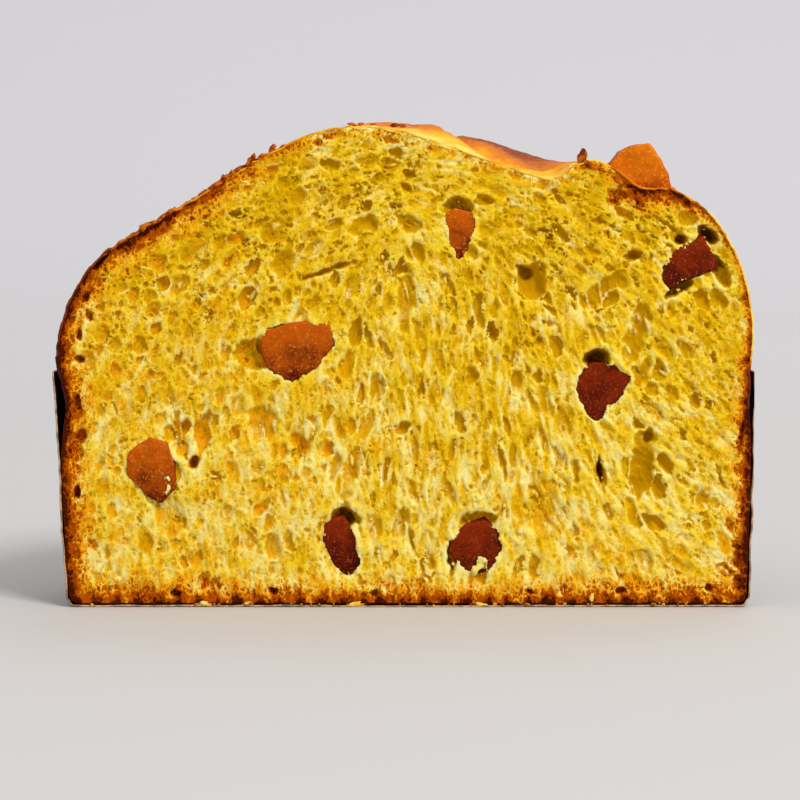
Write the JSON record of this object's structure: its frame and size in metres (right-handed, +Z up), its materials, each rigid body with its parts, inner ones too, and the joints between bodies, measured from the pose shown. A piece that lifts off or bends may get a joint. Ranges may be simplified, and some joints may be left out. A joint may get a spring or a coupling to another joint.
{
  "type": "half panettone",
  "caption": "Half of a low round panettone, cut face open, in its dark paper baking case, with candied fruit chunks in the crumb and one on the crust.",
  "frame": {"origin": "centre of the footprint, on the surface that the paper case stands on", "axes": "+Z up, the cut face looks along -Y and the round back along +Y, +X to the right seen from the cut face"},
  "size_m": [0.1834, 0.0914, 0.1272],
  "materials": {
    "bread": "soft open yellow crumb with a browned crust",
    "case_paper": "dark brown greaseproof baking paper with a soft sheen",
    "candied_amber": "translucent amber candied fruit, slightly sticky",
    "candied_brown": "dark brown candied fruit, slightly sticky"
  },
  "bodies": {
    "root": {"bread": "bread", "paper_case": "case_paper", "candied_left_high": "candied_amber", "candied_left_low": "candied_amber", "candied_base_left": "candied_brown", "candied_base_middle": "candied_brown", "candied_right_middle": "candied_brown", "candied_right_high": "candied_brown", "candied_top_middle": "candied_amber", "candied_crown": "candied_amber"}
  },
  "joints": []
}
